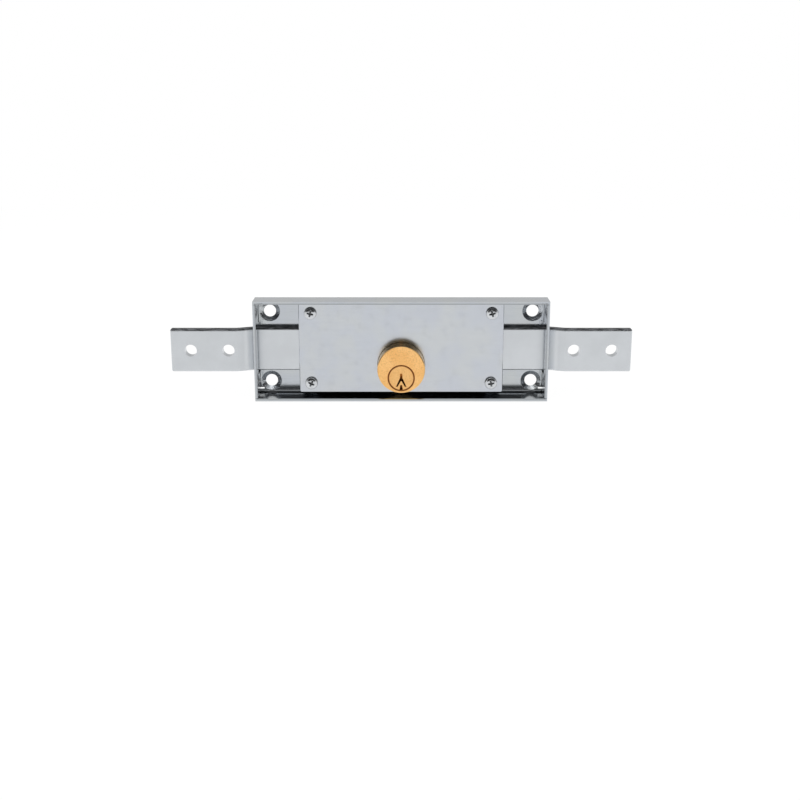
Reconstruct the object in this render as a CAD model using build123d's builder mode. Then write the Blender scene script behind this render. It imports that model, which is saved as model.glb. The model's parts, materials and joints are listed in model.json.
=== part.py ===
from build123d import *
import os
from math import acos, atan, cos, pi, radians, sin, sqrt, tan

os.makedirs("parts", exist_ok=True)

# A surface lock for a roller shutter. A key turns a small gear train in a flat steel case,
# and the gears push two bars out of the two ends of the case.
# Millimetres. The frame's origin is the centre of the four fixing holes on the back face.
# +X is to the right, -Y is to the front and +Z is up.
# Every depth below is a distance from the back face towards the front.

# Case, folded from one sheet
sheet = 1.5
case_width = 155.0
case_height = 54.0
case_depth = 15.0
long_bend_radius = 3.0
end_bend_radius = 2.0
corner_gap = 0.2
relief_width = 1.1
relief_length = 1.5
rim_edge = 0.25
slot_side_room = 2.0
slot_depth = 9.5
slot_corner = 1.0

# Fixing holes
fixing_edge_x = 7.5
fixing_edge_z = 7.8
fixing_hole_radius = 3.25
fixing_sink_radius = 5.6
fixing_sink_angle = 120.0

# Cover plate
cover_width = 108.0
cover_top_gap = 0.3
cover_bottom_gap = 2.3
cover_corner = 1.0
cover_front = 10.0
cover_edge = 0.2
cover_hole_gap = 0.2
cover_screw_edge_x = 6.2
cover_screw_edge_top = 5.3
cover_screw_edge_bottom = 5.1

# Lock cylinder and its plug
cylinder_radius = 12.5
cylinder_z = -8.3
cylinder_front = 20.0
cylinder_back = 5.9
cylinder_edge = 0.4
plug_radius = 6.75
plug_z = -12.7
plug_edge = 0.25
bore_floor = 7.2
foot_radius = 2.3
foot_x = 8.0
foot_gap = 0.4
spigot_radius = 4.5
tail_radius = 2.6
tail_flat = 1.9
tail_end = 3.3

# Keyway, measured from the middle of the plug
keyway_floor = 8.0
keyway_top = 2.5
keyway_split = -0.6
stem_width = 1.3
leg_width = 0.8
leg_spread = 2.35
leg_drop = 4.1
tongue_slot_top = -3.8
tongue_slot_top_width = 0.9
tongue_slot_bottom_width = 2.2

# Pin stacks
pin_count = 4
pin_first_depth = 17.0
pin_pitch = 2.6
pin_radius = 1.1
pin_hole_radius = 1.15
pin_hole_floor = 1.9
pin_shear_gap = 0.2
key_pin_lengths = (3.6, 4.4, 3.2, 4.0)
driver_pin_length = 3.4
chamber_plug_length = 1.8
chamber_plug_sink = 0.1
spring_wire = 0.34
spring_radius = 0.75
spring_turns = 3
pin_point = 0.5
pin_edge = 0.15

# Bars
bolt_height = 23.0
bolt_thickness = 5.0
bolt_z = -0.4
bolt_back = 2.0
bolt_end_x = 122.0
bolt_inner_x = 31.0
crank_start_x = 78.6
crank_run = 8.4
crank_step = 3.0
crank_radius = 3.0
bolt_end_corner = 0.8
bolt_edge = 1.0
rod_hole_radius = 3.25
rod_hole_pitch = 20.0
rod_hole_end_distance = 10.5
arm_thickness = 3.0

# Gear train
tooth_module = 0.8
tooth_count = 10
pressure_angle = 20.0
gear_addendum = 0.75
rack_addendum = 0.45
root_clearance = 0.25
gear_thinning = 0.15
rack_thinning = 0.05
idler_z = 1.0
spaces_past_centre = 11
spaces_before_centre = 1
plain_edge_start_x = 5.0
gear_front = 5.1
pinion_flange_radius = 5.4
pinion_flange_front = 5.7
idler_hub_radius = 3.2
axle_radius = 1.5
axle_hole_depth = 1.0

# Pillars, guide pins and screws
pillar_radius = 3.0
pillar_spigot_radius = 2.0
pillar_hole_depth = 5.0
guide_pin_radius = 1.75
guide_head_radius = 2.9
guide_head_gap = 0.2
guide_head_thickness = 1.0
guide_pillar_gap = 0.6
guide_side_gap = 0.15
m3_radius = 1.5
m3_head_radius = 2.8
m3_clearance = 0.2
pan_head_radius = 3.2
pan_head_height = 1.9
pan_head_rounding = 1.2
pan_recess_span = 3.5
pan_recess_depth = 1.3
cover_screw_length = 5.6
cylinder_screw_length = 6.4
cylinder_screw_hole_depth = 5.4
pinion_screw_radius = 1.25
pinion_screw_head_radius = 2.3
pinion_screw_length = 5.0
pinion_screw_hole_depth = 4.2
recess_width = 0.8
recess_span = 2.9
recess_depth = 0.9
recess_taper = 12.0
thread_lead_in = 0.4

# Clearances
running_clearance = 0.05
thread_clearance = 0.03
rivet_clearance = 0.02
seat_clearance = 0.03
end_clearance = 0.2

# Places that follow from the sizes above
half_width = case_width / 2
half_height = case_height / 2
fixing_pitch_x = case_width - 2 * fixing_edge_x
fixing_pitch_z = case_height - 2 * fixing_edge_z
cover_back = cover_front - sheet
cover_top_z = half_height - sheet - cover_top_gap
cover_bottom_z = -half_height + sheet + cover_bottom_gap
cover_screw_x = cover_width / 2 - cover_screw_edge_x
bolt_front = bolt_back + bolt_thickness
bolt_top_z = bolt_z + bolt_height / 2
bolt_bottom_z = bolt_z - bolt_height / 2
foot_z = bolt_bottom_z - foot_gap - foot_radius
pitch_radius = tooth_module * tooth_count / 2
circular_pitch = pi * tooth_module
pinion_rack_z = plug_z + pitch_radius
idler_low_rack_z = idler_z - pitch_radius
idler_high_rack_z = idler_z + pitch_radius
arm_tip_x = -(spaces_past_centre + 0.5) * circular_pitch
guide_pin_x = cover_screw_x - pillar_radius - guide_head_radius - guide_pillar_gap
guide_pin_offset = guide_side_gap + guide_pin_radius
pin_depths = [pin_first_depth - i * pin_pitch for i in range(pin_count)]
shear_z = plug_z + plug_radius
cylinder_top_z = cylinder_z + cylinder_radius
driver_bottom_z = shear_z + pin_shear_gap / 2
driver_top_z = driver_bottom_z + driver_pin_length
chamber_plug_top_z = cylinder_top_z - chamber_plug_sink
chamber_plug_bottom_z = chamber_plug_top_z - chamber_plug_length
cover_screw_places = [
    (x, z)
    for x in (-cover_screw_x, cover_screw_x)
    for z in (cover_top_z - cover_screw_edge_top, cover_bottom_z + cover_screw_edge_bottom)
]
guide_pin_places = [
    (x, z)
    for x in (-guide_pin_x, guide_pin_x)
    for z in (bolt_top_z + guide_pin_offset, bolt_bottom_z - guide_pin_offset)
]
cylinder_screw_places = [(-foot_x, foot_z), (foot_x, foot_z)]


def front_at(depth):
    """Upright plane at a depth, facing the front, with its X along +X and its Y along +Z."""
    return Plane.XZ.offset(depth)


def back_at(depth):
    """Upright plane at a depth, facing the back, with its X along -X and its Y along +Z."""
    return Plane(origin=(0, -depth, 0), x_dir=(-1, 0, 0), z_dir=(0, 1, 0))


def save(builder, name):
    """Name a finished piece and write its file."""
    builder.part.label = name
    export_step(builder.part, f"parts/{name}.step")


# Case
with BuildPart() as case:
    with BuildSketch(Plane.YZ) as channel:
        Rectangle(case_depth, case_height, align=(Align.MAX, Align.CENTER))
        fillet(channel.vertices().group_by(Axis.X)[-1], long_bend_radius)
        with Locations((-sheet, 0)):
            Rectangle(
                case_depth - sheet,
                case_height - 2 * sheet,
                align=(Align.MAX, Align.CENTER),
                mode=Mode.SUBTRACT,
            )
        inner_corners = channel.vertices().filter_by(lambda v: abs(v.X + sheet) < 0.01)
        fillet(inner_corners, long_bend_radius - sheet)
    extrude(amount=half_width, both=True)
    # The back plate stops short of both ends, where the end walls fold up
    end_start = half_width - end_bend_radius - relief_length
    flat_half_height = half_height - long_bend_radius
    with BuildSketch(front_at(0)):
        for side in (-1, 1):
            with Locations((side * (end_start + half_width) / 2, 0)):
                Rectangle(half_width - end_start, 2 * flat_half_height)
    extrude(amount=sheet, mode=Mode.SUBTRACT)
    # End walls, narrow at the fold and wide enough above it to close the corners
    with BuildSketch(Plane.XY) as end_fold:
        with Locations((half_width, 0)):
            Rectangle(half_width - end_start, case_depth, align=(Align.MAX, Align.MAX))
        fillet(end_fold.vertices().group_by(Axis.Y)[-1].sort_by(Axis.X)[-1], end_bend_radius)
        with Locations((half_width - sheet, -sheet)):
            Rectangle(
                half_width - sheet - end_start,
                case_depth - sheet,
                align=(Align.MAX, Align.MAX),
                mode=Mode.SUBTRACT,
            )
        inner_corner = end_fold.vertices().filter_by(
            lambda v: abs(v.X - half_width + sheet) < 0.01 and abs(v.Y + sheet) < 0.01
        )
        fillet(inner_corner, end_bend_radius - sheet)
        mirror(about=Plane.YZ)
    extrude(amount=flat_half_height - relief_width, both=True)
    with BuildSketch(front_at(long_bend_radius + corner_gap)):
        for side in (-1, 1):
            with Locations((side * (half_width - sheet / 2), 0)):
                Rectangle(sheet, case_height - 2 * (sheet + corner_gap))
    extrude(amount=case_depth - long_bend_radius - corner_gap)
    # Slots in the end walls for the bars
    with BuildSketch(Plane.YZ) as slot:
        with Locations((-sheet, bolt_z)):
            Rectangle(
                slot_depth - sheet,
                bolt_height + 2 * slot_side_room,
                align=(Align.MAX, Align.CENTER),
            )
        fillet(slot.vertices().group_by(Axis.X)[0], slot_corner)
    extrude(amount=case_width, both=True, mode=Mode.SUBTRACT)
    # Holes in the back plate
    with Locations(front_at(sheet)):
        with GridLocations(fixing_pitch_x, fixing_pitch_z, 2, 2):
            CounterSinkHole(
                fixing_hole_radius, fixing_sink_radius, counter_sink_angle=fixing_sink_angle
            )
    with BuildSketch(front_at(0)):
        with Locations(*cover_screw_places):
            Circle(pillar_spigot_radius + rivet_clearance)
        with Locations(*guide_pin_places):
            Circle(guide_pin_radius + rivet_clearance)
        with Locations((0, idler_z)):
            Circle(axle_radius + rivet_clearance)
    extrude(amount=sheet, mode=Mode.SUBTRACT)
    with Locations(back_at(0)):
        with Locations(*cylinder_screw_places):
            CounterSinkHole(
                m3_radius + m3_clearance, m3_head_radius + seat_clearance, 2 * sheet, 90
            )
    chamfer(case.faces().filter_by(Axis.Y).sort_by(Axis.Y)[0].edges(), rim_edge)
save(case, "case")

# Cover plate
with BuildPart() as cover_plate:
    with BuildSketch(front_at(cover_back)):
        with Locations((0, (cover_top_z + cover_bottom_z) / 2)):
            RectangleRounded(cover_width, cover_top_z - cover_bottom_z, cover_corner)
        with Locations((0, cylinder_z)):
            Circle(cylinder_radius + cover_hole_gap, mode=Mode.SUBTRACT)
    extrude(amount=sheet)
    outer_edges = cover_plate.faces().sort_by(Axis.Y)[0].outer_wire().edges()
    chamfer(outer_edges, cover_edge)
    with Locations(front_at(cover_front)):
        with Locations(*cover_screw_places):
            Hole(m3_radius + m3_clearance)
save(cover_plate, "cover_plate")


def rack_spaces(pitch_line_z, teeth_down):
    """Cut the tooth spaces of a rack along one edge of an arm, one space at the middle."""
    slope = tan(radians(pressure_angle))
    half_space = (circular_pitch / 2 + rack_thinning) / 2
    root = gear_addendum + root_clearance
    mouth = rack_addendum + root_clearance
    places = [
        (-i * circular_pitch, pitch_line_z)
        for i in range(-spaces_before_centre, spaces_past_centre + 1)
    ]
    with Locations(*places):
        Polygon(
            (-half_space - mouth * slope, -mouth),
            (half_space + mouth * slope, -mouth),
            (half_space - root * slope, root),
            (-half_space + root * slope, root),
            rotation=0 if teeth_down else 180,
            align=None,
            mode=Mode.SUBTRACT,
        )


def cranked_bar():
    """Add the full-height bar, which steps forward just outside the end wall."""
    bend = atan(crank_step / crank_run)
    corner_shift = bolt_thickness * tan(bend / 2) / 2
    crank_end_x = crank_start_x + crank_run
    with BuildSketch(Plane.XY.offset(bolt_bottom_z)) as side_view:
        Polygon(
            (bolt_inner_x, -bolt_back),
            (crank_start_x + corner_shift, -bolt_back),
            (crank_end_x + corner_shift, -bolt_back - crank_step),
            (bolt_end_x, -bolt_back - crank_step),
            (bolt_end_x, -bolt_front - crank_step),
            (crank_end_x - corner_shift, -bolt_front - crank_step),
            (crank_start_x - corner_shift, -bolt_front),
            (bolt_inner_x, -bolt_front),
            align=None,
        )
        bends = side_view.vertices().filter_by(
            lambda v: bolt_inner_x + 1 < v.X < bolt_end_x - 1
        )
        inner_bends = [bends.sort_by(Axis.X)[0], bends.sort_by(Axis.X)[-1]]
        outer_bends = [v for v in bends if v not in inner_bends]
        fillet(inner_bends, crank_radius)
        fillet(outer_bends, crank_radius + bolt_thickness)
    extrude(side_view.sketch, amount=bolt_height)


def rod_holes():
    """Drill the two rod holes in the outer end of a bar."""
    middle_x = bolt_end_x - rod_hole_end_distance - rod_hole_pitch / 2
    with BuildSketch(front_at(bolt_back)) as holes:
        with Locations((middle_x, bolt_z)):
            with GridLocations(rod_hole_pitch, 0, 2, 1):
                Circle(rod_hole_radius)
    extrude(holes.sketch, amount=crank_step + bolt_thickness, mode=Mode.SUBTRACT)


def round_bar_edges(builder):
    """Round the outer corners and the long rolled edges of a finished bar."""
    end_corners = builder.edges().filter_by(Axis.Y).group_by(Axis.X)[-1]
    fillet(end_corners, bolt_end_corner)
    top_face = builder.faces().filter_by(Axis.Z).sort_by(Axis.Z)[-1]
    bottom_face = builder.faces().filter_by(Axis.Z).sort_by(Axis.Z)[0]
    long_edges = [
        edge
        for edge in top_face.edges() + bottom_face.edges()
        if edge.center().X > bolt_inner_x + 1 and edge.bounding_box().size.X > 0.2
    ]
    fillet(long_edges, bolt_edge)


# Right bar, with a rack above the pinion and another below the idler
with BuildPart() as right_bolt:
    cranked_bar()
    with BuildSketch(front_at(bolt_back)) as right_arm:
        low = pinion_rack_z - rack_addendum
        high = idler_low_rack_z + rack_addendum
        Polygon(
            (arm_tip_x, low),
            (plain_edge_start_x, low),
            (plain_edge_start_x, bolt_bottom_z),
            (bolt_inner_x, bolt_bottom_z),
            (bolt_inner_x, high),
            (arm_tip_x, high),
            align=None,
        )
        rack_spaces(pinion_rack_z, teeth_down=True)
        rack_spaces(idler_low_rack_z, teeth_down=False)
    extrude(amount=arm_thickness)
    rod_holes()
    round_bar_edges(right_bolt)
save(right_bolt, "right_bolt")

# Left bar, drawn to the right and mirrored, with one rack above the idler
with BuildPart() as left_bolt:
    cranked_bar()
    with BuildSketch(front_at(bolt_back)) as left_arm:
        low = idler_high_rack_z - rack_addendum
        Polygon(
            (arm_tip_x, low),
            (bolt_inner_x, low),
            (bolt_inner_x, bolt_top_z),
            (arm_tip_x, bolt_top_z),
            align=None,
        )
        rack_spaces(idler_high_rack_z, teeth_down=True)
    extrude(amount=arm_thickness)
    rod_holes()
    round_bar_edges(left_bolt)
    mirror(about=Plane.YZ, mode=Mode.REPLACE)
save(left_bolt, "left_bolt")


def gear_teeth():
    """Add one gear's outline, with involute flanks and one tooth pointing straight up."""
    base_radius = pitch_radius * cos(radians(pressure_angle))
    tip_radius = pitch_radius + gear_addendum
    root_radius = pitch_radius - rack_addendum - root_clearance
    pitch_half = (circular_pitch / 2 - gear_thinning) / (2 * pitch_radius)
    base_half = pitch_half + tan(radians(pressure_angle)) - radians(pressure_angle)

    def flank(radius, side):
        angle = acos(base_radius / radius)
        half = base_half - (tan(angle) - angle)
        return (side * radius * sin(half), radius * cos(half))

    middle_radius = (base_radius + tip_radius) / 2
    foot_radius_in = root_radius - 0.2
    with BuildSketch(mode=Mode.PRIVATE) as tooth:
        with BuildLine():
            foot_left = (-foot_radius_in * sin(base_half), foot_radius_in * cos(base_half))
            foot_right = (-foot_left[0], foot_left[1])
            Line(foot_left, flank(base_radius, -1))
            ThreePointArc(
                flank(base_radius, -1), flank(middle_radius, -1), flank(tip_radius, -1)
            )
            ThreePointArc(flank(tip_radius, -1), (0, tip_radius), flank(tip_radius, 1))
            ThreePointArc(flank(tip_radius, 1), flank(middle_radius, 1), flank(base_radius, 1))
            Line(flank(base_radius, 1), foot_right)
            Line(foot_right, foot_left)
        make_face()
    Circle(root_radius)
    with PolarLocations(0, tooth_count):
        add(tooth.sketch)


# Plug that the key turns, with its tail for the pinion
with BuildPart() as cylinder_plug:
    with BuildSketch(front_at(bore_floor + end_clearance)):
        with Locations((0, plug_z)):
            Circle(plug_radius)
    extrude(amount=cylinder_front - bore_floor - end_clearance)
    chamfer(cylinder_plug.faces().sort_by(Axis.Y)[0].edges(), plug_edge)
    with BuildSketch(front_at(pinion_flange_front + end_clearance / 2)):
        with Locations((0, plug_z)):
            Circle(spigot_radius)
    extrude(amount=bore_floor + end_clearance - pinion_flange_front - end_clearance / 2)
    with BuildSketch(front_at(tail_end)):
        with Locations((0, plug_z)):
            Circle(tail_radius)
            Rectangle(2 * tail_radius, 2 * tail_flat, mode=Mode.INTERSECT)
    extrude(amount=pinion_flange_front + end_clearance / 2 - tail_end)
    with Locations(back_at(tail_end)):
        with Locations((0, plug_z)):
            Hole(pinion_screw_radius + thread_clearance, pinion_screw_hole_depth)
    with BuildSketch(front_at(keyway_floor)):
        with Locations((0, plug_z)):
            Polygon(
                (-stem_width / 2, keyway_top),
                (-stem_width / 2, keyway_split - stem_width / 2),
                (stem_width / 2, keyway_split - stem_width / 2),
                (stem_width / 2, keyway_top),
                align=None,
            )
            for side in (-1, 1):
                Polygon(
                    (0, keyway_split + leg_width / 2),
                    (side * leg_width, keyway_split + leg_width / 2),
                    (side * (leg_spread + leg_width / 2), keyway_split - leg_drop),
                    (side * (leg_spread - leg_width / 2), keyway_split - leg_drop),
                    (0, keyway_split - leg_width),
                    align=None,
                )
            Polygon(
                (-tongue_slot_top_width / 2, tongue_slot_top),
                (tongue_slot_top_width / 2, tongue_slot_top),
                (tongue_slot_bottom_width / 2, -plug_radius - 1),
                (-tongue_slot_bottom_width / 2, -plug_radius - 1),
                align=None,
            )
    extrude(amount=cylinder_front - keyway_floor, mode=Mode.SUBTRACT)
    with BuildSketch(Plane.XY.offset(plug_z + pin_hole_floor)):
        with Locations(*[(0, -depth) for depth in pin_depths]):
            Circle(pin_hole_radius)
    extrude(amount=plug_radius, mode=Mode.SUBTRACT)
save(cylinder_plug, "cylinder_plug")

# Cylinder body, with the plug's bore low in it and two feet on the back plate
with BuildPart() as cylinder_body:
    with BuildSketch(front_at(cylinder_back)):
        with Locations((0, cylinder_z)):
            Circle(cylinder_radius)
    extrude(amount=cylinder_front - cylinder_back)
    chamfer(cylinder_body.faces().sort_by(Axis.Y)[0].edges(), cylinder_edge)
    with BuildSketch(front_at(sheet)):
        with Locations(*cylinder_screw_places):
            Circle(foot_radius)
    extrude(amount=cylinder_back - sheet)
    with BuildSketch(front_at(bore_floor)):
        with Locations((0, plug_z)):
            Circle(plug_radius + running_clearance)
    extrude(amount=cylinder_front - bore_floor, mode=Mode.SUBTRACT)
    mouth = cylinder_body.faces().sort_by(Axis.Y)[0].inner_wires()[0].edges()
    chamfer(mouth, plug_edge)
    with BuildSketch(front_at(cylinder_back)):
        with Locations((0, plug_z)):
            Circle(spigot_radius + running_clearance)
    extrude(amount=bore_floor - cylinder_back, mode=Mode.SUBTRACT)
    with BuildSketch(front_at(cylinder_back)):
        with Locations((0, idler_z)):
            Circle(axle_radius + running_clearance)
    extrude(amount=axle_hole_depth, mode=Mode.SUBTRACT)
    with BuildSketch(Plane.XY.offset(plug_z)):
        with Locations(*[(0, -depth) for depth in pin_depths]):
            Circle(pin_hole_radius)
    extrude(amount=cylinder_top_z - plug_z, mode=Mode.SUBTRACT)
    with BuildSketch(front_at(sheet)):
        with Locations(*cylinder_screw_places):
            Circle(m3_radius + thread_clearance)
    extrude(amount=cylinder_screw_hole_depth, mode=Mode.SUBTRACT)
save(cylinder_body, "cylinder_body")

# Drive pinion on the plug's tail, with a flange that keeps the plug in its bore
with BuildPart() as drive_pinion:
    with BuildSketch(front_at(bolt_back)):
        with Locations((0, plug_z)):
            gear_teeth()
    extrude(amount=gear_front - bolt_back)
    with BuildSketch(front_at(gear_front)):
        with Locations((0, plug_z)):
            Circle(pinion_flange_radius)
    extrude(amount=pinion_flange_front - gear_front)
    with BuildSketch(front_at(tail_end - end_clearance / 2)):
        with Locations((0, plug_z)):
            Circle(tail_radius + running_clearance)
            Rectangle(
                2 * (tail_radius + running_clearance),
                2 * (tail_flat + running_clearance),
                mode=Mode.INTERSECT,
            )
    extrude(amount=pinion_flange_front - tail_end + end_clearance / 2, mode=Mode.SUBTRACT)
    with Locations(back_at(bolt_back)):
        with Locations((0, plug_z)):
            CounterSinkHole(
                pinion_screw_radius + thread_clearance,
                pinion_screw_head_radius + seat_clearance,
                counter_sink_angle=90,
            )
save(drive_pinion, "drive_pinion")

# Idler gear between the two bars, and the axle that it turns on
with BuildPart() as idler_gear:
    with BuildSketch(front_at(bolt_back)):
        with Locations((0, idler_z)):
            gear_teeth()
    extrude(amount=gear_front - bolt_back)
    with BuildSketch(front_at(gear_front)):
        with Locations((0, idler_z)):
            Circle(idler_hub_radius)
    extrude(amount=cylinder_back - end_clearance - gear_front)
    with BuildSketch(front_at(bolt_back)):
        with Locations((0, idler_z)):
            Circle(axle_radius + running_clearance)
    extrude(amount=cylinder_back - bolt_back, mode=Mode.SUBTRACT)
save(idler_gear, "idler_gear")

with BuildPart() as idler_axle:
    with BuildSketch(front_at(0)):
        with Locations((0, idler_z)):
            Circle(axle_radius)
    extrude(amount=cylinder_back + axle_hole_depth - end_clearance / 2)
    chamfer(idler_axle.edges().group_by(Axis.Y)[0], pin_edge)
save(idler_axle, "idler_axle")

# Pin stacks, set level with the plug's surface as the right key sets them
for number, (depth, key_pin_length) in enumerate(zip(pin_depths, key_pin_lengths), start=1):
    with BuildPart() as key_pin:
        key_pin_top = sqrt(plug_radius**2 - pin_radius**2) - pin_shear_gap / 2
        with BuildSketch(Plane.XY.offset(plug_z + key_pin_top)):
            with Locations((0, -depth)):
                Circle(pin_radius)
        extrude(amount=-key_pin_length)
        chamfer(key_pin.edges().group_by(Axis.Z)[0], pin_point)
    save(key_pin, f"key_pin_{number}")

    with BuildPart() as driver_pin:
        with BuildSketch(Plane.XY.offset(driver_bottom_z)):
            with Locations((0, -depth)):
                Circle(pin_radius)
        extrude(amount=driver_pin_length)
        chamfer(driver_pin.edges().filter_by(GeomType.CIRCLE), pin_edge)
    save(driver_pin, f"driver_pin_{number}")

    with BuildPart() as pin_spring:
        spring_start_z = driver_top_z + spring_wire / 2
        spring_height = chamber_plug_bottom_z - driver_top_z - spring_wire
        with BuildLine() as coil:
            Helix(
                pitch=spring_height / spring_turns,
                height=spring_height,
                radius=spring_radius,
                center=(0, -depth, spring_start_z),
            )
        with BuildSketch(Plane(origin=coil.line @ 0, z_dir=coil.line % 0)):
            Rectangle(spring_wire * 0.9, spring_wire * 0.9)
        sweep(is_frenet=True)
    save(pin_spring, f"pin_spring_{number}")

    with BuildPart() as chamber_plug:
        with BuildSketch(Plane.XY.offset(chamber_plug_bottom_z)):
            with Locations((0, -depth)):
                Circle(pin_hole_radius - rivet_clearance)
        extrude(amount=chamber_plug_length)
    save(chamber_plug, f"chamber_plug_{number}")

# Pillars that carry the cover, riveted into the back plate
for number, (x, z) in enumerate(cover_screw_places, start=1):
    with BuildPart() as pillar:
        with BuildSketch(front_at(0)):
            with Locations((x, z)):
                Circle(pillar_spigot_radius)
        extrude(amount=sheet)
        with BuildSketch(front_at(sheet)):
            with Locations((x, z)):
                Circle(pillar_radius)
        extrude(amount=cover_back - sheet)
        with Locations(front_at(cover_back)):
            with Locations((x, z)):
                Hole(m3_radius + thread_clearance, pillar_hole_depth)
        mouth = pillar.faces().sort_by(Axis.Y)[0].inner_wires()[0].edges()
        chamfer(mouth, thread_lead_in)
    save(pillar, f"cover_pillar_{number}")

# Headed pins beside the bars, riveted into the back plate
for number, (x, z) in enumerate(guide_pin_places, start=1):
    with BuildPart() as guide_pin:
        with BuildSketch(front_at(0)):
            with Locations((x, z)):
                Circle(guide_pin_radius)
        extrude(amount=bolt_front + guide_head_gap)
        with BuildSketch(front_at(bolt_front + guide_head_gap)):
            with Locations((x, z)):
                Circle(guide_head_radius)
        extrude(amount=guide_head_thickness)
        chamfer(guide_pin.faces().sort_by(Axis.Y)[0].edges(), pin_edge)
    save(guide_pin, f"guide_pin_{number}")


def cross_recess(plane, place, span=recess_span, depth=recess_depth):
    """Press a tapered cross into a screw's head."""
    with BuildSketch(plane) as cross:
        with Locations(place):
            Rectangle(span, recess_width)
            Rectangle(recess_width, span)
    extrude(cross.sketch, amount=-depth, taper=recess_taper, mode=Mode.SUBTRACT)


def countersunk_screw(plane, place, radius, head_radius, length):
    """Add one countersunk screw whose flat head lies on a plane and faces along it."""
    cone = head_radius - radius
    with BuildSketch(plane) as head:
        with Locations(place):
            Circle(head_radius)
    extrude(head.sketch, amount=-cone, taper=44.9)
    with BuildSketch(plane.offset(-cone / 2)) as shank:
        with Locations(place):
            Circle(radius)
    extrude(shank.sketch, amount=-(length - cone / 2))
    cross_recess(plane, place)


# Screws
with BuildPart() as cover_screws:
    with BuildSketch(front_at(cover_front)):
        with Locations(*cover_screw_places):
            Circle(pan_head_radius)
    extrude(amount=pan_head_height)
    fillet(cover_screws.faces().group_by(Axis.Y)[0].edges(), pan_head_rounding)
    with BuildSketch(front_at(cover_front)):
        with Locations(*cover_screw_places):
            Circle(m3_radius)
    extrude(amount=-cover_screw_length)
    for place in cover_screw_places:
        cross_recess(
            front_at(cover_front + pan_head_height), place, pan_recess_span, pan_recess_depth
        )
save(cover_screws, "cover_screws")

with BuildPart() as cylinder_screws:
    for place in cylinder_screw_places:
        countersunk_screw(
            back_at(0), place, m3_radius, m3_head_radius, cylinder_screw_length
        )
save(cylinder_screws, "cylinder_screws")

with BuildPart() as pinion_screw:
    countersunk_screw(
        back_at(bolt_back),
        (0, plug_z),
        pinion_screw_radius,
        pinion_screw_head_radius,
        pinion_screw_length,
    )
save(pinion_screw, "pinion_screw")
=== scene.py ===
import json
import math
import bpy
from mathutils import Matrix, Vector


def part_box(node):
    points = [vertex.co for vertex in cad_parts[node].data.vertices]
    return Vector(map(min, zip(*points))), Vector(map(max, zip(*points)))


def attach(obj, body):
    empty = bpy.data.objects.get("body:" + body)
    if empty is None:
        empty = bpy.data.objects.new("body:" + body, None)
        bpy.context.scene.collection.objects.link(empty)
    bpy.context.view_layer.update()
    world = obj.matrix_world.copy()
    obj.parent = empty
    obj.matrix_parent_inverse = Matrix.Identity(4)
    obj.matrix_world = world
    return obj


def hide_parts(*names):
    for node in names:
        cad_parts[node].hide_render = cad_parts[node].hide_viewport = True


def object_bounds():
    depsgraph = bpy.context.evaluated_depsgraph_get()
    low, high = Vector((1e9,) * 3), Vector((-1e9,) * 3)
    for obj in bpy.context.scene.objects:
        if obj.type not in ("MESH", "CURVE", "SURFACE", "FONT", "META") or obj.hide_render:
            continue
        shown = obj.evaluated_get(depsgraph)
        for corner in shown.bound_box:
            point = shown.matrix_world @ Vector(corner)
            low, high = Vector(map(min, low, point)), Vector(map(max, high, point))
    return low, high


bl_info = {
    "name": "Roller shutter lock",
    "version": (1, 0, 0),
    "blender": (4, 5, 0),
    "location": "3D View > Sidebar > Shutter Lock",
    "description": "Dresses the solids of a roller shutter lock in zinc, steel and brass",
    "category": "Object",
}

import bmesh
import bpy
from mathutils import Vector

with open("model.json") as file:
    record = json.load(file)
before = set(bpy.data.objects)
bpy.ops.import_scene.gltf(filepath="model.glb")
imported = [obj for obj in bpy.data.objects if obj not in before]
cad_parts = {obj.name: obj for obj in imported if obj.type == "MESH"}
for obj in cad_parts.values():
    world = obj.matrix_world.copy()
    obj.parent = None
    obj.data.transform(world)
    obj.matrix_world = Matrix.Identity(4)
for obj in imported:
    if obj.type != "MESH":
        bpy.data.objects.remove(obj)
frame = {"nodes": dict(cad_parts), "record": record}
cad_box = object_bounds()

MM = 0.001

# The pin stacks, the pillars and the guide pins are numbered from one to four.
ONE_TO_FOUR = range(1, 5)

# The thickness of the case's sheet and the radius of its countersinks
CASE_SHEET = 1.5 * MM
FIXING_SINK = 5.6 * MM

# How deep the fine marks on the metals are
SHEET_RELIEF = 0.0015 * MM
GRAIN_RELIEF = 0.002 * MM
LATHE_RELIEF = 0.001 * MM
MACHINED_RELIEF = 0.0015 * MM

# Coarser marks, as multiples of the fine ones round them
SINK_CHATTER = 110
END_DENTS = 60
EDGE_SCALE = 25

# Screws: how finely their outlines are turned, the sizes of their edges, the angles past which
# an edge is eased or shaded sharp, and the size of the pinion screw's recess to the others'
SHELL_SEGMENTS = 72
CROWN_STEPS = 6
SHOULDER_STEPS = 12
HEAD_EDGE = 0.12 * MM
FLAT_HEAD_EDGE = 0.08 * MM
LEAD_IN_LENGTH = 0.4 * MM
LEAD_IN_DEPTH = 0.35 * MM
RECESS_EASE = 0.05 * MM
EASED_ANGLE = math.radians(38)
SHARP_ANGLE = math.radians(40)
SMALL_RECESS = 0.9
FACING_FRONT = (math.pi / 2, 0.0, 0.0)
FACING_BACK = (-math.pi / 2, 0.0, 0.0)

# Springs: points in each turn, and sides of the wire
HELIX_STEPS = 28
WIRE_SIDES = 10

# How bright the studio is behind the lock and on the camera's side. Each pair is a height,
# from the horizon at 0 to straight up at 1, and the brightness there.
BACKDROP_LIGHT = [(0, 0.7), (0.32, 0.68), (0.5, 0.42), (0.8, 0.35), (1, 0.5)]
ROOM_LIGHT = [(0, 0.05), (0.4, 0.05), (0.5, 0.65), (0.75, 0.55), (0.96, 1.0), (1, 0.8)]

WHITE = (1, 1, 1, 1)


def middle(node):
    """The middle of a node's box."""
    low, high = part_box(node)
    return (low + high) / 2


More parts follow.
